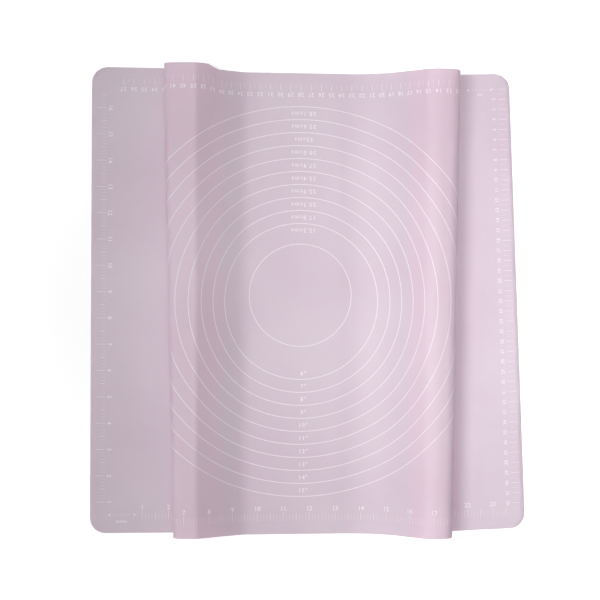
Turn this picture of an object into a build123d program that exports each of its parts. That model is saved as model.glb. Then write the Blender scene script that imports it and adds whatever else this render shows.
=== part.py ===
"""Silicone baking mat, laid on a worktop with two soft pleats in it.

The mat is one flat sheet, printed on its upper side with rings and rulers.
+X is to the right, +Y to the back, +Z up, in millimetres. The origin is on
the worktop, under the middle of the sheet. Each pleat folds the sheet into an
S: out of the middle it climbs to a crest, turns under itself, and turns back
again to run out over the worktop as a side flap.

Places on the mat are given on the flat sheet, as a run to the right of its
middle and a depth behind it. The runs and depths of the prints are those that
the flat mat is printed with.
"""

import os
from math import cos, degrees, pi, radians, sin, tan

from build123d import *

# Sheet
mat_width = 640
mat_depth = 450
sheet_thickness = 0.7
corner_radius = 15

# Left pleat, with angles in degrees
left_floor = 48
left_foot_radius = 30
left_climb = 26
left_brow_radius = 22
left_fall = 8
left_top_front = 9.4
left_top_back = 17.5
left_upper_radius = 6.5
left_under = 3
left_lower_radius = 2.5
left_gap_front = 6.3
left_gap_back = 16.6
left_flap_drift = 2.7

# Right pleat, whose flap is turned a little
right_floor = 44
right_foot_radius = 85
right_climb = 39
right_brow_radius = 28
right_fall = 4
right_top_front = 0.8
right_top_back = 5.8
right_upper_radius = 12
right_under = 8
right_lower_radius = 6
right_gap_front = 23.9
right_gap_back = 22.4
right_flap_turn = 2.1

# Print
ink_thickness = 0.1
ink_clearance = 0.02
ink_width = 1
ink_end_heading = 72
inch = 25.4
centimetre = 10

# Rings: the inner ring sits a little behind the others
ring_centre_depth = 2
inner_ring_depth = 8
inner_ring_diameter = 100
first_ring_inches = 6
last_ring_inches = 15
ring_stations = 48

# Front ruler, in inches from the left edge
front_zero = 24.5
front_end = 25
front_tick_edge = 13
front_tick_length = 8
front_half_tick_length = 7

# Back ruler, in centimetres from the right edge
back_zero = 40
back_end = 25
back_tick_edge = 10.5
back_tick_length = 6.5

# Left ruler, in inches from the front edge
left_zero = 4.5
left_end = 33
left_tick_edge = 5
left_tick_length = 9
left_half_tick_length = 5

# Right ruler, in centimetres from the back edge
right_zero = 5
right_end = 20
right_tick_edge = 4
right_tick_length = 8

# How far the lofts and cutters run past what they trim
overrun = 20

half_width = mat_width / 2
half_depth = mat_depth / 2
cutter_height = mat_width
middle_height = sheet_thickness / 2
ink_low = middle_height + ink_clearance
ink_high = ink_low + ink_thickness
flap_slope = tan(radians(right_flap_turn))

left_pleat = {
    "side": -1,
    "floor": left_floor,
    "foot": left_foot_radius,
    "climb": radians(left_climb),
    "brow": left_brow_radius,
    "fall": radians(left_fall),
    "top": (left_top_front, left_top_back),
    "upper": left_upper_radius,
    "under": radians(left_under),
    "lower": left_lower_radius,
    "gap": (left_gap_front, left_gap_back),
}
right_pleat = {
    "side": 1,
    "floor": right_floor,
    "foot": right_foot_radius,
    "climb": radians(right_climb),
    "brow": right_brow_radius,
    "fall": radians(right_fall),
    "top": (right_top_front, right_top_back),
    "upper": right_upper_radius,
    "under": radians(right_under),
    "lower": right_lower_radius,
    "gap": (right_gap_front, right_gap_back),
}


def between(depth, front_back):
    """A size that changes evenly from the front edge to the back edge."""
    front, back = front_back
    return front + (back - front) * (depth + half_depth) / mat_depth


def pleat_bends(pleat, depth):
    """The bends of the pleat's section, from the middle of the mat outwards.

    Each is a radius, a turn in radians, positive where the sheet bends up, and
    the straight run after it. The run under the fold ends at a gap from the
    climb, and the climb is as long as brings the sheet back to the worktop.
    """
    climb, fall, under = pleat["climb"], pleat["fall"], pleat["under"]
    foot, brow, upper, lower = (pleat[name] for name in ("foot", "brow", "upper", "lower"))
    top, gap = between(depth, pleat["top"]), between(depth, pleat["gap"])
    fold_height = (
        top * sin(fall) + upper * (cos(under) + cos(fall)) - brow * (cos(fall) - cos(climb))
    )
    overhang = (
        fold_height / tan(climb)
        + brow * (sin(climb) + sin(fall))
        + top * cos(fall)
        + upper * (sin(under) - sin(fall))
        - lower * (1 - sin(under))
    )
    under_run = (overhang - gap) / (cos(under) - sin(under) / tan(climb))
    rise = (
        fold_height
        + under_run * sin(under)
        + lower * (1 + cos(under))
        - foot * (1 - cos(climb))
    )
    return [
        (foot, climb, rise / sin(climb)),
        (brow, -climb - fall, top),
        (upper, fall + under - pi, under_run),
        (lower, pi - under, half_width),
    ]


def printed_bends(pleat, depth):
    """The bends that show from above, which the rings are printed on."""
    foot, brow, (upper, _, _), _ = pleat_bends(pleat, depth)
    return [foot, brow, (upper, pleat["fall"] - radians(ink_end_heading), 0)]


def walk(pleat, bends, run):
    """Where the sheet is after a run outwards from its middle, as seen in section.

    Gives how far out and how high its middle surface is, its heading in radians,
    which is 0 where it runs level, and its hollow: one over the radius where it
    bends up, and 0 elsewhere. Past the last bend it runs level.
    """
    out, up, heading, hollow = min(run, pleat["floor"]), 0, 0, 0
    left = max(run - pleat["floor"], 0)
    for radius, turn, straight in bends:
        sign = 1 if turn > 0 else -1
        after = heading + sign * min(left / radius, abs(turn))
        if 0 < left < radius * turn:
            hollow = 1 / radius
        out += sign * radius * (sin(after) - sin(heading))
        up += sign * radius * (cos(heading) - cos(after))
        left -= radius * abs(after - heading)
        along = min(left, straight)
        out += along * cos(after)
        up += along * sin(after)
        left -= along
        heading = after
    return out + left, up, heading, hollow


def run_of_bends(pleat, bends, turned):
    """The run from the middle of the mat to the heading that the sheet first turns to."""
    run, heading = pleat["floor"], 0
    for radius, turn, straight in bends:
        if heading + turn <= turned < heading:
            return run + radius * (heading - turned)
        run += radius * abs(turn) + straight
        heading += turn
    return run - straight


def fold_run(pleat, depth):
    """The run to where the pleat turns straight down, its outermost line."""
    return run_of_bends(pleat, pleat_bends(pleat, depth), -pi / 2)


def tuck_run(pleat, depth):
    """The run to where the sheet reaches the worktop again, under the pleat."""
    bends = pleat_bends(pleat, depth)
    return run_of_bends(pleat, bends, -2 * pi)


def reach(pleat, depth, run):
    """The X of the sheet after a run outwards from its middle, at a depth."""
    return pleat["side"] * walk(pleat, pleat_bends(pleat, depth), run)[0]


def drift(pleat, x, run, depth):
    """How far a place has moved to the back, because the pleats slant."""
    tuck = tuck_run(pleat, depth)
    if pleat is left_pleat:
        fold = fold_run(pleat, depth)
        return left_flap_drift * min(max((run - fold) / (tuck - fold), 0), 1)
    return (x - reach(pleat, depth, tuck)) * flap_slope if run > tuck else 0


def middle_surface(run, depth):
    """A place on the flat sheet, as a point of the folded sheet's middle surface."""
    pleat = left_pleat if run < 0 else right_pleat
    out, up, _, _ = walk(pleat, pleat_bends(pleat, depth), abs(run))
    x = pleat["side"] * out
    return Vector(x, depth + drift(pleat, x, abs(run), depth), middle_height + up)


def on_sheet(run, depth):
    """The plane of the underside of a flat bar of ink at a place on the flat sheet.

    Its X runs to the right along the sheet and its Z away from the upper side. A
    bar across a hollow lies as much higher as keeps its edges out of the sheet.
    """
    across = middle_surface(run + ink_width, depth) - middle_surface(run - ink_width, depth)
    along = middle_surface(run, depth + ink_width) - middle_surface(run, depth - ink_width)
    normal = across.cross(along).normalized()
    pleat = left_pleat if run < 0 else right_pleat
    hollow = walk(pleat, pleat_bends(pleat, depth), abs(run))[3]
    lift = ink_low + hollow * ink_width**2 / 4
    return Plane(middle_surface(run, depth) + normal * lift, x_dir=across, z_dir=normal)


def draw_pleat(start, pleat, bends, lift):
    """Draws the section of a surface at a distance above the sheet's middle surface."""
    line_end, heading = Vector(start), Vector(pleat["side"], 0)
    for radius, turn, straight in bends:
        bend_radius = radius - lift if turn > 0 else radius + lift
        bend = JernArc(line_end, heading, bend_radius, pleat["side"] * degrees(turn))
        line_end, heading = bend @ 1, bend % 1
        if straight:
            line_end = Line(line_end, line_end + heading * straight) @ 1
    return line_end


def layer_section(depth, low, high, bends_of):
    """The section, at a depth, of the layer between two distances above the middle."""
    ends = []
    with BuildSketch(Plane.XZ.offset(-depth)) as section:
        with BuildLine():
            for lift in (low, high):
                height = middle_height + lift
                floor = Line((-left_floor, height), (right_floor, height))
                left_end = draw_pleat(floor @ 0, left_pleat, bends_of(left_pleat, depth), lift)
                right_end = draw_pleat(floor @ 1, right_pleat, bends_of(right_pleat, depth), lift)
                ends.append((left_end, right_end))
            for low_end, high_end in zip(*ends):
                Line(low_end, high_end)
        make_face()
    return section.sketch


def layer_sections(low, high, bends_of):
    """A layer's sections in front of the front edge and behind the back edge."""
    depths = (-half_depth - overrun, half_depth + overrun)
    return [layer_section(depth, low, high, bends_of) for depth in depths]


def edge_points(depth):
    """The sheet's front or back edge as seen from above, from left to right."""
    left_edge = reach(left_pleat, depth, half_width)
    left_fold = reach(left_pleat, depth, fold_run(left_pleat, depth))
    left_tuck = reach(left_pleat, depth, tuck_run(left_pleat, depth))
    left_step = left_tuck if depth > 0 else left_fold + left_upper_radius
    right_tuck = reach(right_pleat, depth, tuck_run(right_pleat, depth))
    right_edge = reach(right_pleat, depth, half_width)
    return [
        (left_edge, depth + left_flap_drift),
        (left_fold, depth + left_flap_drift),
        (left_step, depth),
        (right_tuck, depth),
        (right_edge, depth + (right_edge - right_tuck) * flap_slope),
    ]


# The sheet: lofted from front to back, then cut to its edges as seen from above
with BuildPart() as mat_sheet:
    loft(layer_sections(-sheet_thickness / 2, sheet_thickness / 2, pleat_bends), ruled=True)
    with BuildSketch(Plane.XY.offset(-overrun)) as outline:
        with BuildLine():
            Polyline(*edge_points(-half_depth), *reversed(edge_points(half_depth)), close=True)
        make_face()
        ends = outline.vertices().sort_by(Axis.X)
        fillet(ends[:2] + ends[-2:], radius=corner_radius)
    extrude(amount=cutter_height, mode=Mode.INTERSECT)

# The layer of ink that the rings are cut from
with BuildPart() as ink_layer:
    loft(layer_sections(ink_low, ink_high, printed_bends), ruled=True)


def ring_point(radius, angle, centre_depth):
    """A point of a printed circle as seen from above, past the folds too."""
    run = radius * cos(angle)
    depth = centre_depth + radius * sin(angle)
    pleat = left_pleat if run < 0 else right_pleat
    out = walk(pleat, printed_bends(pleat, depth), abs(run))[0]
    return (pleat["side"] * out, depth)


def ring_points(radius, centre_depth):
    """Points all round a printed circle, as seen from above."""
    turns = [2 * pi * n / ring_stations for n in range(ring_stations)]
    return [ring_point(radius, turn, centre_depth) for turn in turns]


rings = {}
ring_sizes = {
    f"ring_{inches:02d}in": (inches * inch, ring_centre_depth)
    for inches in range(first_ring_inches, last_ring_inches + 1)
}
ring_sizes["ring_inner"] = (inner_ring_diameter, inner_ring_depth)
for ring_name, (diameter, centre_depth) in ring_sizes.items():
    with BuildPart() as ring:
        add(ink_layer.part)
        with BuildSketch(Plane.XY.offset(-overrun)):
            with BuildLine():
                Spline(*ring_points((diameter + ink_width) / 2, centre_depth), periodic=True)
            make_face()
            with BuildLine():
                Spline(*ring_points((diameter - ink_width) / 2, centre_depth), periodic=True)
            make_face(mode=Mode.SUBTRACT)
        extrude(amount=cutter_height, mode=Mode.INTERSECT)
    rings[ring_name] = ring.part


def tick(run, depth, across, along):
    """One printed bar, centred at a place on the flat sheet."""
    with Locations(on_sheet(run, depth)):
        Box(across, along, ink_thickness, align=(Align.CENTER, Align.CENTER, Align.MIN))


def marks(length, zero, end, unit):
    """How many marks a unit apart fit on an edge, between its zero and its end."""
    return int((length - zero - end) / unit)


# Front ruler: a long tick at each inch and a shorter one at each half
with BuildPart() as front_ruler:
    for half_inches in range(2, marks(mat_width, front_zero, front_end, inch / 2) + 1):
        length = front_half_tick_length if half_inches % 2 else front_tick_length
        tick(
            front_zero + half_inches * inch / 2 - half_width,
            front_tick_edge + length / 2 - half_depth,
            ink_width,
            length,
        )

# Back ruler: a tick at each centimetre, counted from the right
with BuildPart() as back_ruler:
    for centimetres in range(1, marks(mat_width, back_zero, back_end, centimetre) + 1):
        tick(
            half_width - back_zero - centimetres * centimetre,
            half_depth - back_tick_edge - back_tick_length / 2,
            ink_width,
            back_tick_length,
        )

# Left ruler: inches and halves, counted from the front
with BuildPart() as left_ruler:
    for half_inches in range(2, marks(mat_depth, left_zero, left_end, inch / 2) + 1):
        length = left_half_tick_length if half_inches % 2 else left_tick_length
        tick(
            left_tick_edge + left_tick_length - length / 2 - half_width,
            left_zero + half_inches * inch / 2 - half_depth,
            length,
            ink_width,
        )

# Right ruler: centimetres, counted from the back
with BuildPart() as right_ruler:
    for centimetres in range(1, marks(mat_depth, right_zero, right_end, centimetre) + 1):
        tick(
            half_width - right_tick_edge - right_tick_length / 2,
            half_depth - right_zero - centimetres * centimetre,
            right_tick_length,
            ink_width,
        )

mat_sheet.part.label = "mat_sheet"
front_ruler.part.label = "ruler_front_inches"
back_ruler.part.label = "ruler_back_centimetres"
left_ruler.part.label = "ruler_left_inches"
right_ruler.part.label = "ruler_right_centimetres"
for ring_name, ring_part in rings.items():
    ring_part.label = ring_name

os.makedirs("parts", exist_ok=True)
rulers = [front_ruler.part, back_ruler.part, left_ruler.part, right_ruler.part]
for piece in [mat_sheet.part, *rulers, *rings.values()]:
    export_step(piece, f"parts/{piece.label}.step")
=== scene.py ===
"""Looks of the silicone baking mat: a printed sheet laid down with two soft pleats.

Metres, +X right, +Y back, +Z up. Places on the mat are given as on the flat sheet:
a run to the right of its middle and a depth behind it. lay() takes such places,
with a height above the upper side, to the folded sheet.
"""

import math

import bmesh
import bpy
import numpy as np
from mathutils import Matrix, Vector


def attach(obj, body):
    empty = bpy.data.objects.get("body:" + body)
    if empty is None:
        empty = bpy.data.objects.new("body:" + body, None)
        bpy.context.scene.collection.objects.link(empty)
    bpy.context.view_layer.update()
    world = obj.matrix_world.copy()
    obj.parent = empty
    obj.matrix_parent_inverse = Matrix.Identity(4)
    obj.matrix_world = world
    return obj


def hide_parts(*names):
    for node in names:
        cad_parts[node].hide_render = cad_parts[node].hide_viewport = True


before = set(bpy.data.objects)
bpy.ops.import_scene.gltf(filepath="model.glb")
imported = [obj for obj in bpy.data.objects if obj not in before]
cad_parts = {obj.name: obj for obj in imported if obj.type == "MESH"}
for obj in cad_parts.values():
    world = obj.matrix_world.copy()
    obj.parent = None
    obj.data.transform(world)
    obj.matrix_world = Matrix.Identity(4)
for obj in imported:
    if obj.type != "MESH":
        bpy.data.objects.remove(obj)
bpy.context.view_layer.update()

MM = 0.001
CM = 0.01
INCH = 0.0254

# The sheet, as in the CAD model
WIDTH, DEPTH, THICKNESS = 0.640, 0.450, 0.0007
CORNER = 0.015
HALF_WIDTH, HALF_DEPTH = WIDTH / 2, DEPTH / 2

# Each pleat from the middle outwards: flat floor, foot, climb, brow, falling top, upper
# fold, stretch under the top, lower fold and flap. Bends are radii and slopes are angles.
# The top's length and the gap are pairs, in front and at the back. The gap is what the
# stretch under the top leaves free before the climb.
LEFT = {
    "side": -1,
    "floor": 0.048,
    "foot": 0.030,
    "climb": math.radians(26),
    "brow": 0.009,
    "fall": math.radians(8),
    "top": (0.0134, 0.0215),
    "upper": 0.0065,
    "under": math.radians(3),
    "lower": 0.0025,
    "gap": (0.0063, 0.0166),
}
RIGHT = {
    "side": 1,
    "floor": 0.044,
    "foot": 0.085,
    "climb": math.radians(39),
    "brow": 0.028,
    "fall": math.radians(4),
    "top": (0.0008, 0.0058),
    "upper": 0.012,
    "under": math.radians(8),
    "lower": 0.006,
    "gap": (0.0239, 0.0224),
}
LEFT_FLAP_DRIFT = 0.0027
RIGHT_FLAP_SLOPE = math.tan(math.radians(2.1))
# The left pleat's back end is drawn out and up, from the climb to a little past the fold
LEFT_END_SHIFT, LEFT_END_LIFT, LEFT_END_REACH = 0.0042, 0.003, 0.065
LEFT_END_START, LEFT_END_FADE = (0.083, 0.096), 0.020
# Where each pleat's three layers start and end, along the run: the stretches that get the painted
# translucency pink
LAYERED_RUNS = (-0.236, -0.080, 0.112, 0.254)
LAYERED_FADE = 0.004

# Columns of the sheet's mesh: on the floor, on each bend and on the stretch after it
FLOOR_COLUMNS = 6
BEND_COLUMNS = (30, 14, 30, 22)
STRAIGHT_COLUMNS = (8, 6, 3, 30)
# Rows of the sheet's mesh: from an edge through its rounded corners, and between these
CORNER_ROWS = [distance * MM for distance in (0, 0.3, 1.1, 2.4, 4.2, 6.4, 9, 12, 15)]
MIDDLE_ROWS = 47
RIM_BULGE = 0.25 * MM


def add_object(name, data):
    made = bpy.data.objects.new(name, data)
    bpy.context.scene.collection.objects.link(made)
    return made


# ---------------------------------------------------------------- the folded sheet


def pleat_bends(pleat, depth):
    """(radius, turn, straight run after it) of each bend, from the middle outwards."""
    share = (depth + HALF_DEPTH) / DEPTH
    top, gap = (pleat[key][0] + (pleat[key][1] - pleat[key][0]) * share for key in ("top", "gap"))
    climb, fall, under = pleat["climb"], pleat["fall"], pleat["under"]
    foot, brow, upper, lower = (pleat[key] for key in ("foot", "brow", "upper", "lower"))
    sin, cos, tan = math.sin, math.cos, math.tan
    fold_height = (
        top * sin(fall) + upper * (cos(under) + cos(fall)) - brow * (cos(fall) - cos(climb))
    )
    overhang = (
        fold_height / tan(climb)
        + brow * (sin(climb) + sin(fall))
        + top * cos(fall)
        + upper * (sin(under) - sin(fall))
        - lower * (1 - sin(under))
    )
    under_run = (overhang - gap) / (cos(under) - sin(under) / tan(climb))
    rise = (
        fold_height
        + under_run * sin(under)
        + lower * (1 + cos(under))
        - foot * (1 - cos(climb))
    )
    past_the_edge = HALF_WIDTH + 0 * depth
    return [
        (foot, climb, rise / sin(climb)),
        (brow, -climb - fall, top),
        (upper, fall + under - math.pi, under_run),
        (lower, math.pi - under, past_the_edge),
    ]


def walk(pleat, run, depth):
    """How far out and how high the sheet's middle surface is after a run outwards."""
    out, left = np.minimum(run, pleat["floor"]), np.maximum(run - pleat["floor"], 0)
    up, heading = 0 * run, 0 * run
    for radius, turn, straight in pleat_bends(pleat, depth):
        sign = 1 if turn > 0 else -1
        after = heading + sign * np.minimum(left / radius, abs(turn))
        out = out + sign * radius * (np.sin(after) - np.sin(heading))
        up = up + sign * radius * (np.cos(heading) - np.cos(after))
        left = left - radius * abs(after - heading)
        along = np.minimum(left, straight)
        out, up, left = out + along * np.cos(after), up + along * np.sin(after), left - along
        heading = after
    return out + left, up


def fold_runs(pleat, depth):
    """The runs to the pleat's outermost line and to where its flap starts."""
    foot, brow, upper, lower = pleat_bends(pleat, depth)
    start = pleat["floor"] + sum(
        radius * abs(turn) + straight for radius, turn, straight in (foot, brow)
    )
    fold = start + upper[0] * (math.pi / 2 - pleat["fall"])
    return fold, start + upper[0] * abs(upper[1]) + upper[2] + lower[0] * lower[1]


def smooth(value, low, high):
    share = np.clip((value - low) / (high - low), 0, 1)
    return share * share * (3 - 2 * share)


def left_end(distance, depth, fold):
    """How strongly the left pleat's back end is drawn out, from 0 to 1."""
    starts = smooth(distance, *LEFT_END_START)
    ends = smooth(distance, fold, fold + LEFT_END_FADE)
    return starts * (1 - ends) * smooth(depth, HALF_DEPTH - LEFT_END_REACH, HALF_DEPTH)


def middle_surface(run, depth):
    """Points of the folded sheet's middle surface, for arrays of runs and depths."""
    points = np.zeros(run.shape + (3,))
    for pleat in (LEFT, RIGHT):
        here = (run < 0) if pleat is LEFT else (run >= 0)
        distance, behind = abs(run[here]), depth[here]
        out, up = walk(pleat, distance, behind)
        fold, tuck = fold_runs(pleat, behind)
        if pleat is LEFT:
            drift = LEFT_FLAP_DRIFT * np.clip((distance - fold) / (tuck - fold), 0, 1)
            drawn = left_end(distance, behind, fold)
            drift, up = drift + LEFT_END_SHIFT * drawn, up + LEFT_END_LIFT * drawn
        else:
            flap = out - walk(pleat, tuck, behind)[0]
            drift = np.where(distance > tuck, flap * RIGHT_FLAP_SLOPE, 0)
        points[here] = np.stack([pleat["side"] * out, behind + drift, THICKNESS / 2 + up], -1)
    return points


def lay(places):
    """Flat places (run, depth, height above the upper side) as points of the folded mat."""
    run, depth, height = np.asarray(places, float).T
    step = 0.2 * MM
    across = middle_surface(run + step, depth) - middle_surface(run - step, depth)
    along = middle_surface(run, depth + step) - middle_surface(run, depth - step)
    normal = np.cross(across, along)
    normal /= np.linalg.norm(normal, axis=1)[:, None]
    return middle_surface(run, depth) + normal * (height + THICKNESS / 2)[:, None]


def run_stations(pleat, depth):
    """Runs of the mesh's columns from the middle to the pleat's side edge."""
    inset = max(CORNER - (HALF_DEPTH - abs(depth)), 0)
    edge = HALF_WIDTH - CORNER + math.sqrt(CORNER**2 - inset**2)
    stretches = [(pleat["floor"], FLOOR_COLUMNS)]
    for bend, bend_columns, straight_columns in zip(
        pleat_bends(pleat, depth), BEND_COLUMNS, STRAIGHT_COLUMNS
    ):
        radius, turn, straight = bend
        stretches += [(radius * abs(turn), bend_columns), (straight, straight_columns)]
    stations, run = [], 0
    for length, columns in stretches:
        length = min(length, edge - run)
        stations += [run + length * n / columns for n in range(columns)]
        run += length
    return stations + [edge]


def depth_stations():
    """Depths of the mesh's rows from the front edge to the back edge."""
    front = [-HALF_DEPTH + distance for distance in CORNER_ROWS]
    middle = np.linspace(front[-1], -front[-1], MIDDLE_ROWS + 2)[1:-1]
    return [*front, *middle, *(-depth for depth in reversed(front))]


def keep_flat_places(mesh, places):
    """Keeps each point's run and depth as UVs, for the materials."""
    layer = mesh.uv_layers.new(name="flat")
    for loop in mesh.loops:
        layer.data[loop.index].uv = places[loop.vertex_index][:2]


def make_sheet():
    """The sheet as a closed mesh with a rounded rim."""
    depths = depth_stations()
    rows = []
    for depth in depths:
        left, right = run_stations(LEFT, depth), run_stations(RIGHT, depth)
        rows.append([-run for run in reversed(left)] + right[1:])
    row_count, column_count = len(rows), len(rows[0])
    flat = [(run, depth) for row, depth in zip(rows, depths) for run in row]
    top = lay([(run, depth, 0) for run, depth in flat])
    bottom = lay([(run, depth, -THICKNESS) for run, depth in flat])

    def index(row, column):
        return row * column_count + column

    rim = (
        [index(0, c) for c in range(column_count)]
        + [index(r, column_count - 1) for r in range(1, row_count)]
        + [index(row_count - 1, c) for c in range(column_count - 2, -1, -1)]
        + [index(r, 0) for r in range(row_count - 2, 0, -1)]
    )
    size = len(flat)
    faces = []
    for r in range(row_count - 1):
        for c in range(column_count - 1):
            quad = [index(r, c), index(r, c + 1), index(r + 1, c + 1), index(r + 1, c)]
            faces.append(quad)
            faces.append([n + size for n in reversed(quad)])
    # The rim has a line half way down, pushed outwards a little
    middle = (top[rim] + bottom[rim]) / 2
    outward = np.roll(middle, -1, 0) - np.roll(middle, 1, 0)
    outward = np.cross(outward, top[rim] - bottom[rim])
    outward /= np.linalg.norm(outward, axis=1)[:, None]
    middle = middle + outward * RIM_BULGE
    for n, here in enumerate(rim):
        after = (n + 1) % len(rim)
        there = rim[after]
        faces.append([here, 2 * size + n, 2 * size + after, there])
        faces.append([2 * size + n, here + size, there + size, 2 * size + after])

    mesh = bpy.data.meshes.new("mat")
    mesh.from_pydata(np.concatenate([top, bottom, middle]).tolist(), [], faces)
    mesh.validate()
    mesh.shade_smooth()
    keep_flat_places(mesh, flat + flat + [flat[n] for n in rim])
    return add_object("mat", mesh)


# ---------------------------------------------------------------- the print

INK_LOW, INK_HIGH = 0.03 * MM, 0.09 * MM
RING_LINE, RING_STEPS = 0.75 * MM, 900
TICK, FINE_TICK = 0.45 * MM, 0.22 * MM
ARROW_LINE, ARROW_DASHES, ARROW_DASH_SHARE = 0.35 * MM, 5, 0.6
ARROW_HEAD, ARROW_HALF_WIDTH = 2.4 * MM, 1.5 * MM
# From each end of an arrow to its dashes
ARROW_CLEAR = 5 * MM

# The print is cut this finely where the sheet bends, to a little past the lower fold
CUT_PITCH, CUT_MARGIN = 1.2 * MM, 10 * MM
# Points of the print that lie closer together than this are one
CUT_SNAP = 0.003 * MM

# Quarter turns of words that are read from the back, the left and the right
FROM_BACK, FROM_LEFT, FROM_RIGHT = 2, 3, 1
# Words in Blender's own font at size 1
DIGIT_HEIGHT = 0.7
TEXT_STEPS, TEXT_HALF_THICKNESS, TEXT_BOLDNESS = 3, 0.1, 0.02
TEXT_SNAP = 0.001


class Print:
    """Gathers flat shapes of ink, then lays them on the folded sheet as one piece."""

    def __init__(self):
        self.mesh = bmesh.new()

    def bar(self, run, depth, across, along):
        corners = [(-1, -1), (1, -1), (1, 1), (-1, 1)]
        self.prism([(run + a * across / 2, depth + b * along / 2) for a, b in corners])

    def prism(self, flat):
        low = [self.mesh.verts.new((*p, INK_LOW)) for p in flat]
        high = [self.mesh.verts.new((*p, INK_HIGH)) for p in flat]
        self.mesh.faces.new(list(reversed(low)))
        self.mesh.faces.new(high)
        for n in range(len(flat)):
            m = (n + 1) % len(flat)
            self.mesh.faces.new([low[n], low[m], high[m], high[n]])

    def arrow(self, tip, tail, depth):
        """A dashed arrow along the run, with a head at its tip and one at its tail."""
        way = 1 if tail > tip else -1
        for end, inwards in ((tip, way), (tail, -way)):
            back = end + inwards * ARROW_HEAD
            sides = [(back, depth - ARROW_HALF_WIDTH), (back, depth + ARROW_HALF_WIDTH)]
            self.prism([(end, depth), *(sides if inwards > 0 else reversed(sides))])
        start = tip + way * ARROW_CLEAR
        pitch = (abs(tail - tip) - 2 * ARROW_CLEAR) / ARROW_DASHES
        for n in range(ARROW_DASHES):
            self.bar(start + way * (n + 0.5) * pitch, depth, pitch * ARROW_DASH_SHARE, ARROW_LINE)

    def ring(self, radius, centre_depth):
        """A printed circle, as one closed band with four lines."""
        inner, outer = radius - RING_LINE / 2, radius + RING_LINE / 2
        turns = [2 * math.pi * n / RING_STEPS for n in range(RING_STEPS)]
        profile = ((inner, INK_LOW), (outer, INK_LOW), (outer, INK_HIGH), (inner, INK_HIGH))
        lines = []
        for r, height in profile:
            circle = [(r * math.cos(t), centre_depth + r * math.sin(t), height) for t in turns]
            lines.append([self.mesh.verts.new(point) for point in circle])
        for k, a in enumerate(lines):
            b = lines[(k + 1) % len(lines)]
            for n in range(RING_STEPS):
                m = (n + 1) % RING_STEPS
                self.mesh.faces.new([a[n], b[n], b[m], a[m]])

    def text(self, words, run, depth, height, turn=0, spacing=1.0):
        """Words centred at a place, turned in quarter turns, with digits of that height."""
        points, faces = text_mesh(words, spacing)
        c, s = round(math.cos(turn * math.pi / 2)), round(math.sin(turn * math.pi / 2))
        verts = []
        for x, y, z in points:
            x, y = x * height, y * height
            level = INK_HIGH if z > 0 else INK_LOW
            verts.append(self.mesh.verts.new((run + c * x - s * y, depth + s * x + c * y, level)))
        for face in faces:
            self.mesh.faces.new([verts[n] for n in face])

    def piece(self, name, node):
        """Cuts the shapes finely where the sheet bends and lays them on it."""
        runs = [v.co.x for v in self.mesh.verts]
        for pleat in (LEFT, RIGHT):
            reach = fold_runs(pleat, 0)[1] + CUT_MARGIN
            for cut in np.arange(pleat["floor"], reach, CUT_PITCH) * pleat["side"]:
                if min(runs) < cut < max(runs):
                    bmesh.ops.bisect_plane(
                        self.mesh,
                        geom=self.mesh.verts[:] + self.mesh.edges[:] + self.mesh.faces[:],
                        dist=CUT_SNAP,
                        plane_co=(cut, 0, 0),
                        plane_no=(1, 0, 0),
                    )
        bmesh.ops.dissolve_degenerate(self.mesh, dist=CUT_SNAP, edges=self.mesh.edges)
        bmesh.ops.recalc_face_normals(self.mesh, faces=self.mesh.faces)
        flat = np.array([v.co for v in self.mesh.verts])
        for vert, point in zip(self.mesh.verts, lay(flat)):
            vert.co = point
        mesh = bpy.data.meshes.new(name)
        self.mesh.to_mesh(mesh)
        self.mesh.free()
        keep_flat_places(mesh, flat)
        mesh.materials.append(ink)
        made = add_object(name, mesh)
        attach(made, "root")
        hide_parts(node)
        return made


_texts = {}


def text_mesh(words, spacing):
    """Points and faces of words set in Blender's own font, centred, digits one unit high."""
    if (words, spacing) not in _texts:
        curve = bpy.data.curves.new("words", "FONT")
        curve.body = words
        curve.align_x = "CENTER"
        curve.space_character = spacing
        curve.resolution_u = TEXT_STEPS
        curve.extrude = TEXT_HALF_THICKNESS
        curve.offset = TEXT_BOLDNESS
        made = add_object("words", curve)
        bpy.context.view_layer.update()
        mesh = bpy.data.meshes.new_from_object(
            made.evaluated_get(bpy.context.evaluated_depsgraph_get())
        )
        shape = bmesh.new()
        shape.from_mesh(mesh)
        bmesh.ops.remove_doubles(shape, verts=shape.verts, dist=TEXT_SNAP)
        points = [
            (v.co.x / DIGIT_HEIGHT, v.co.y / DIGIT_HEIGHT - 0.5, v.co.z) for v in shape.verts
        ]
        faces = [[v.index for v in f.verts] for f in shape.faces]
        shape.free()
        bpy.data.objects.remove(made)
        bpy.data.meshes.remove(mesh)
        _texts[words, spacing] = (points, faces)
    return _texts[words, spacing]


# ---------------------------------------------------------------- materials


def material(name):
    made = bpy.data.materials.new(name)
    made.use_nodes = True
    nodes = made.node_tree.nodes
    return made, nodes, made.node_tree.links, nodes["Principled BSDF"]


def flat_place(nodes):
    """The place on the flat sheet, so that patterns follow the folds."""
    node = nodes.new("ShaderNodeUVMap")
    node.uv_map = "flat"
    return node.outputs["UV"]


def noise(nodes, links, vector, scale, detail, rough):
    node = nodes.new("ShaderNodeTexNoise")
    node.inputs["Scale"].default_value = scale
    node.inputs["Detail"].default_value = detail
    node.inputs["Roughness"].default_value = rough
    links.new(vector, node.inputs["Vector"])
    return node.outputs["Fac"]


def ramp(nodes, links, value, stops):
    node = nodes.new("ShaderNodeValToRGB")
    elements = node.color_ramp.elements
    while len(elements) < len(stops):
        elements.new(0.5)
    for element, (place, colour) in zip(elements, stops):
        element.position = place
        element.color = (*colour, 1)
    links.new(value, node.inputs["Fac"])
    return node.outputs["Color"]


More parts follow.
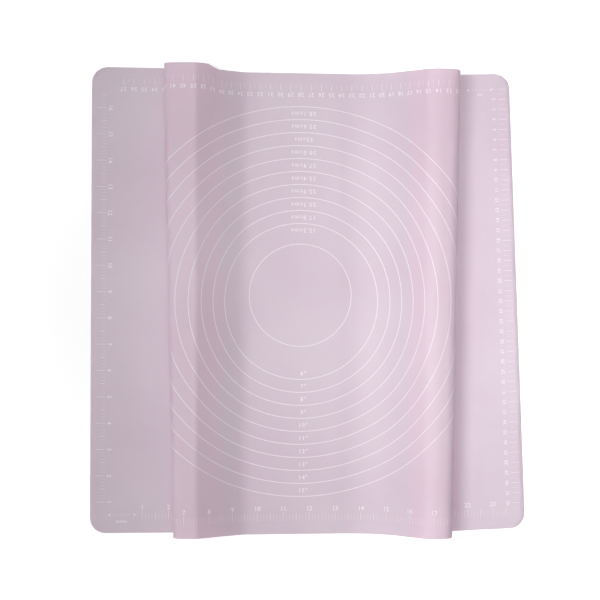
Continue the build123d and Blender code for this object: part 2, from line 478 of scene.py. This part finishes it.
def map_range(nodes, links, value, source, target, shape="LINEAR"):
    node = nodes.new("ShaderNodeMapRange")
    node.interpolation_type = shape
    for name, level in zip(("From Min", "From Max", "To Min", "To Max"), (*source, *target)):
        node.inputs[name].default_value = level
    links.new(value, node.inputs["Value"])
    return node.outputs["Result"]


def bump(nodes, links, height, strength, distance, under=None):
    """A normal bent by a height, on top of the bump under it if there is one."""
    node = nodes.new("ShaderNodeBump")
    node.inputs["Strength"].default_value = strength
    node.inputs["Distance"].default_value = distance
    links.new(height, node.inputs["Height"])
    if under is not None:
        links.new(under, node.inputs["Normal"])
    return node.outputs["Normal"]


def grey(level):
    return (level, level, level)


def linear(*srgb):
    return tuple(
        (c / 255 / 12.92) if c / 255 <= 0.04045 else ((c / 255 + 0.055) / 1.055) ** 2.4
        for c in srgb
    )


# Darker and lighter tint of the silicone's clouds: its own colour where it lies in one layer, and
# where it lies in three a denser, lighter pink that is painted translucency, standing in for
# light through the stacked layers
ONE_LAYER = linear(213, 196, 208), linear(219, 204, 215)
THREE_LAYERS_PAINTED_PINK = linear(219, 195, 209), linear(225, 203, 216)
# Thinner and thicker ink
INK_COLOURS = linear(236, 225, 233), linear(247, 239, 245)
# How far light spreads inside the silicone: most in red
SPREAD_SHARES, SPREAD = (1.0, 0.8, 0.88), 2.2 * MM


def layers(nodes, links, place):
    """1 where the sheet lies in three layers, where the denser pink of light through the stack is
    painted into the colour, else 0.
    """
    split = nodes.new("ShaderNodeSeparateXYZ")
    links.new(place, split.inputs["Vector"])
    share = map_range(nodes, links, split.outputs["X"], (-HALF_WIDTH, HALF_WIDTH), (0, 1))
    stops = []
    for level, run in zip((1, 0, 1, 0), LAYERED_RUNS):
        for side, here in ((-1, 1 - level), (1, level)):
            stops.append(((run + side * LAYERED_FADE + HALF_WIDTH) / WIDTH, grey(here)))
    return ramp(nodes, links, share, stops)


def silicone_material():
    """Translucent silicone with faint clouds, a fine matt grain and soft waves, and painted
    translucency: a denser pink where it lies in three layers.
    """
    made, nodes, links, shader = material("silicone_pink")
    place = flat_place(nodes)
    cloud = noise(nodes, links, place, scale=9, detail=2, rough=0.45)
    mix = nodes.new("ShaderNodeMix")
    mix.data_type = "RGBA"
    # Painted translucency: the three layer stretches get a denser pink, standing in for light
    # through the stacked layers, not the silicone's own colour
    links.new(layers(nodes, links, place), mix.inputs["Factor"])
    for socket, (dark, light) in (("A", ONE_LAYER), ("B", THREE_LAYERS_PAINTED_PINK)):
        tint = ramp(nodes, links, cloud, [(0.3, dark), (0.7, light)])
        links.new(tint, mix.inputs[socket])
    links.new(mix.outputs["Result"], shader.inputs["Base Color"])
    speckle = noise(nodes, links, place, scale=260, detail=4, rough=0.6)
    rough = ramp(nodes, links, speckle, [(0.3, grey(0.46)), (0.7, grey(0.58))])
    links.new(rough, shader.inputs["Roughness"])
    grain = noise(nodes, links, place, scale=1500, detail=3, rough=0.6)
    waves = noise(nodes, links, place, scale=22, detail=2, rough=0.4)
    fine = bump(nodes, links, grain, strength=0.35, distance=0.06 * MM)
    soft = bump(nodes, links, waves, strength=0.5, distance=1.2 * MM, under=fine)
    links.new(soft, shader.inputs["Normal"])
    shader.inputs["Subsurface Weight"].default_value = 1.0
    shader.inputs["Subsurface Radius"].default_value = SPREAD_SHARES
    shader.inputs["Subsurface Scale"].default_value = SPREAD
    shader.inputs["Specular IOR Level"].default_value = 0.35
    return made


def ink_material():
    """White ink that covers a little unevenly."""
    made, nodes, links, shader = material("print_white")
    cover = noise(nodes, links, flat_place(nodes), scale=700, detail=3, rough=0.6)
    thin, thick = INK_COLOURS
    colour = ramp(nodes, links, cover, [(0.35, thin), (0.6, thick)])
    links.new(colour, shader.inputs["Base Color"])
    rough = ramp(nodes, links, cover, [(0.3, grey(0.5)), (0.7, grey(0.62))])
    links.new(rough, shader.inputs["Roughness"])
    raised = bump(nodes, links, cover, strength=0.3, distance=0.03 * MM)
    links.new(raised, shader.inputs["Normal"])
    return made


silicone = silicone_material()
ink = ink_material()

# ---------------------------------------------------------------- pieces

mat = make_sheet()
mat.data.materials.append(silicone)
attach(mat, "root")
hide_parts("mat_sheet")

# Rings, each with inches inside its front point and centimetres inside its back point
RING_DEPTH, INNER_RING_DEPTH, INNER_RING_RADIUS = 2 * MM, 8 * MM, 50 * MM
RING_CENTIMETRES = ("15.2", "17.8", "20.3", "22.9", "25.4", "27.9", "30.5", "33", "35.6", "38.1")
LABEL_RUN, LABEL_HEIGHT = 3 * MM, 4 * MM
INCHES_INSET, INCHES_SPACING = 6 * MM, 1.25
CENTIMETRES_INSET, CENTIMETRES_SPACING = 7 * MM, 1.3
for inches, centimetres in zip(range(6, 16), RING_CENTIMETRES):
    radius = inches * INCH / 2
    near, far = RING_DEPTH - radius + INCHES_INSET, RING_DEPTH + radius - CENTIMETRES_INSET
    ring = Print()
    ring.ring(radius, RING_DEPTH)
    ring.text(f'{inches}"', LABEL_RUN, near, LABEL_HEIGHT, 0, INCHES_SPACING)
    ring.text(f"{centimetres}cms", LABEL_RUN, far, LABEL_HEIGHT, FROM_BACK, CENTIMETRES_SPACING)
    ring.piece(f"print_ring_{inches:02d}in", f"ring_{inches:02d}in")
inner = Print()
inner.ring(INNER_RING_RADIUS, INNER_RING_DEPTH)
inner.piece("print_ring_inner", "ring_inner")


def eighths_up_to(inches):
    """Eighths of an inch from the first inch on."""
    return range(8, int(8 * inches) + 1)


def inch_tick(eighths, fine, half, whole):
    """Length and line width of a ruler's tick."""
    if eighths % 4:
        return fine, FINE_TICK
    return (half if eighths % 8 else whole), TICK


UNIT_HEIGHT = 3 * MM

# Front ruler: inches from the left, after an arrow with its unit
FRONT_ZERO, FRONT_TICKS = 24.5 * MM, 13 * MM
FRONT_TICK_LENGTHS = (6 * MM, 7 * MM, 8 * MM)
FRONT_NUMBERS, FRONT_NUMBER_HEIGHT = 24.8 * MM, 4.4 * MM
FRONT_ARROW_TIP, FRONT_ARROW_TAIL, FRONT_ARROW_DEPTH = 17 * MM, 44 * MM, 17.5 * MM
FRONT_UNIT_RUN, FRONT_UNIT_DEPTH = 30 * MM, 11.5 * MM
front = Print()
for eighths in eighths_up_to(23.5):
    run = FRONT_ZERO + eighths * INCH / 8 - HALF_WIDTH
    length, line = inch_tick(eighths, *FRONT_TICK_LENGTHS)
    front.bar(run, FRONT_TICKS + length / 2 - HALF_DEPTH, line, length)
    if eighths % 8 == 0:
        front.text(str(eighths // 8), run, FRONT_NUMBERS - HALF_DEPTH, FRONT_NUMBER_HEIGHT)
front.arrow(
    FRONT_ARROW_TIP - HALF_WIDTH, FRONT_ARROW_TAIL - HALF_WIDTH, FRONT_ARROW_DEPTH - HALF_DEPTH
)
front.text("inches", FRONT_UNIT_RUN - HALF_WIDTH, FRONT_UNIT_DEPTH - HALF_DEPTH, UNIT_HEIGHT)
front.piece("print_ruler_front", "ruler_front_inches")

# Back ruler: centimetres from the right, upside down, after an arrow with its unit
BACK_ZERO, BACK_LAST = 40 * MM, 57
BACK_TICKS, BACK_TICK_LENGTH, BACK_HALF_LENGTH = 10.5 * MM, 6.5 * MM, 4 * MM
BACK_NUMBERS, BACK_NUMBER_HEIGHT, BACK_SPACING = 21 * MM, 4 * MM, 1.1
BACK_ARROW_TIP, BACK_ARROW_TAIL, BACK_ARROW_DEPTH = 17 * MM, 43 * MM, 15.5 * MM
BACK_UNIT_RUN, BACK_UNIT_DEPTH = 30 * MM, 20.5 * MM
back = Print()
for centimetres in range(1, BACK_LAST + 1):
    run = HALF_WIDTH - BACK_ZERO - centimetres * CM
    start = HALF_DEPTH - BACK_TICKS
    back.bar(run, start - BACK_TICK_LENGTH / 2, TICK, BACK_TICK_LENGTH)
    if centimetres < BACK_LAST:
        back.bar(run - CM / 2, start - BACK_HALF_LENGTH / 2, FINE_TICK, BACK_HALF_LENGTH)
    depth = HALF_DEPTH - BACK_NUMBERS
    back.text(str(centimetres), run, depth, BACK_NUMBER_HEIGHT, FROM_BACK, BACK_SPACING)
back.arrow(
    HALF_WIDTH - BACK_ARROW_TIP, HALF_WIDTH - BACK_ARROW_TAIL, HALF_DEPTH - BACK_ARROW_DEPTH
)
back.text(
    "cm", HALF_WIDTH - BACK_UNIT_RUN, HALF_DEPTH - BACK_UNIT_DEPTH, UNIT_HEIGHT, FROM_BACK
)
back.piece("print_ruler_back", "ruler_back_centimetres")

# Left ruler: inches from the front, read from the left edge
LEFT_ZERO, LEFT_TICKS = 4.5 * MM, 14 * MM
LEFT_TICK_LENGTHS = (4 * MM, 5 * MM, 9 * MM)
LEFT_NUMBERS, LEFT_NUMBER_HEIGHT = 18 * MM, 4 * MM
left = Print()
for eighths in eighths_up_to(16.5):
    depth = LEFT_ZERO + eighths * INCH / 8 - HALF_DEPTH
    length, line = inch_tick(eighths, *LEFT_TICK_LENGTHS)
    left.bar(LEFT_TICKS - length / 2 - HALF_WIDTH, depth, length, line)
    if eighths % 8 == 0:
        run = LEFT_NUMBERS - HALF_WIDTH
        left.text(str(eighths // 8), run, depth, LEFT_NUMBER_HEIGHT, FROM_LEFT)
left.piece("print_ruler_left", "ruler_left_inches")

# Right ruler: centimetres from the back, read from the right edge
RIGHT_ZERO, RIGHT_LAST = 5 * MM, 42
RIGHT_TICK_MIDDLE, RIGHT_TICK_LENGTH = 8 * MM, 8 * MM
RIGHT_HALF_MIDDLE, RIGHT_HALF_LENGTH = 9 * MM, 5 * MM
RIGHT_NUMBERS, RIGHT_NUMBER_HEIGHT = 16.5 * MM, 3.4 * MM
right = Print()
for centimetres in range(1, RIGHT_LAST + 1):
    depth = HALF_DEPTH - RIGHT_ZERO - centimetres * CM
    right.bar(HALF_WIDTH - RIGHT_TICK_MIDDLE, depth, RIGHT_TICK_LENGTH, TICK)
    right.bar(HALF_WIDTH - RIGHT_HALF_MIDDLE, depth - CM / 2, RIGHT_HALF_LENGTH, FINE_TICK)
    run = HALF_WIDTH - RIGHT_NUMBERS
    right.text(str(centimetres), run, depth, RIGHT_NUMBER_HEIGHT, FROM_RIGHT)
right.piece("print_ruler_right", "ruler_right_centimetres")

# ---------------------------------------------------------------- floor and backdrop

FLOOR_SIZE, FLOOR_DROP = 12, 0.3 * MM
FLOOR_COLOUR = (0.82, 0.82, 0.83)
# The floor's own glow near the mat, and the distances between which it turns white
FLOOR_GLOW, FLOOR_FADE = 0.34, (0.18, 0.5)
BACKDROP_LEVEL = 1.0
SKY_LEVEL = 0.2


def seen_rays(nodes, links):
    """1 for the rays that show the backdrop, 0 for those that light the mat."""
    path = nodes.new("ShaderNodeLightPath")
    seen = path.outputs["Is Camera Ray"]
    for ray in ("Is Glossy Ray", "Is Transmission Ray"):
        either = nodes.new("ShaderNodeMath")
        either.operation = "MAXIMUM"
        links.new(seen, either.inputs[0])
        links.new(path.outputs[ray], either.inputs[1])
        seen = either.outputs["Value"]
    return seen


def floor_material():
    """White away from the mat, for the rays that show it. Near the mat it keeps a shadow."""
    made, nodes, links, shader = material("floor_white")
    shader.inputs["Base Color"].default_value = (*FLOOR_COLOUR, 1)
    shader.inputs["Roughness"].default_value = 0.7
    geometry = nodes.new("ShaderNodeNewGeometry")
    distance = nodes.new("ShaderNodeVectorMath")
    distance.operation = "LENGTH"
    links.new(geometry.outputs["Position"], distance.inputs[0])
    levels = (FLOOR_GLOW, BACKDROP_LEVEL)
    level = map_range(nodes, links, distance.outputs["Value"], FLOOR_FADE, levels, "SMOOTHSTEP")
    glow = nodes.new("ShaderNodeEmission")
    links.new(level, glow.inputs["Strength"])
    glowing = nodes.new("ShaderNodeAddShader")
    links.new(shader.outputs["BSDF"], glowing.inputs[0])
    links.new(glow.outputs["Emission"], glowing.inputs[1])
    choice = nodes.new("ShaderNodeMixShader")
    links.new(seen_rays(nodes, links), choice.inputs["Fac"])
    links.new(shader.outputs["BSDF"], choice.inputs[1])
    links.new(glowing.outputs["Shader"], choice.inputs[2])
    links.new(choice.outputs["Shader"], nodes["Material Output"].inputs["Surface"])
    return made


bpy.ops.mesh.primitive_plane_add(size=FLOOR_SIZE, location=(0, 0, -FLOOR_DROP))
floor = bpy.context.object
floor.name = "worktop"
floor.data.materials.append(floor_material())

world = bpy.data.worlds.new("studio")
bpy.context.scene.world = world
world.use_nodes = True
nodes, links = world.node_tree.nodes, world.node_tree.links
background = nodes["Background"]
background.inputs["Color"].default_value = (1, 1, 1, 1)
strength = map_range(nodes, links, seen_rays(nodes, links), (0, 1), (SKY_LEVEL, BACKDROP_LEVEL))
links.new(strength, background.inputs["Strength"])

# ---------------------------------------------------------------- lights and camera

# The share of the light that the thin sheet lets through
LET_THROUGH = 0.33


def soft_lamp(name, place, aim, power, size, cone):
    """A round soft lamp that lights a patch about its aim, fading to the sides.

    What the sheet lets through is a lamp of its own that casts no shadow.
    """
    for part, share in (("shaded", 1 - LET_THROUGH), ("through", LET_THROUGH)):
        lamp = bpy.data.lights.new(f"{name}_{part}", "SPOT")
        lamp.energy = power * share
        lamp.use_shadow = part == "shaded"
        lamp.shadow_soft_size = size
        lamp.spot_size = math.radians(cone)
        lamp.spot_blend = 1.0
        made = add_object(lamp.name, lamp)
        made.location = place
        made.rotation_mode = "QUATERNION"
        made.rotation_quaternion = (Vector(aim) - Vector(place)).to_track_quat("-Z", "Y")


soft_lamp("key", place=(-0.95, -0.1, 2.3), aim=(0.4, -0.04, 0), power=310, size=0.6, cone=36)
soft_lamp("fill", place=(0.45, 0.3, 2.2), aim=(0.25, 0.15, 0), power=85, size=0.5, cone=26)

camera = add_object("camera", bpy.data.cameras.new("camera"))
camera.location = (-0.1084, -0.0034, 1.300)
camera.rotation_euler = [math.radians(degrees) for degrees in (0.281, -4.755, 0.183)]
camera.data.lens = 80.03
camera.data.sensor_width = 36
bpy.context.scene.camera = camera

bpy.context.scene.view_settings.view_transform = "Standard"
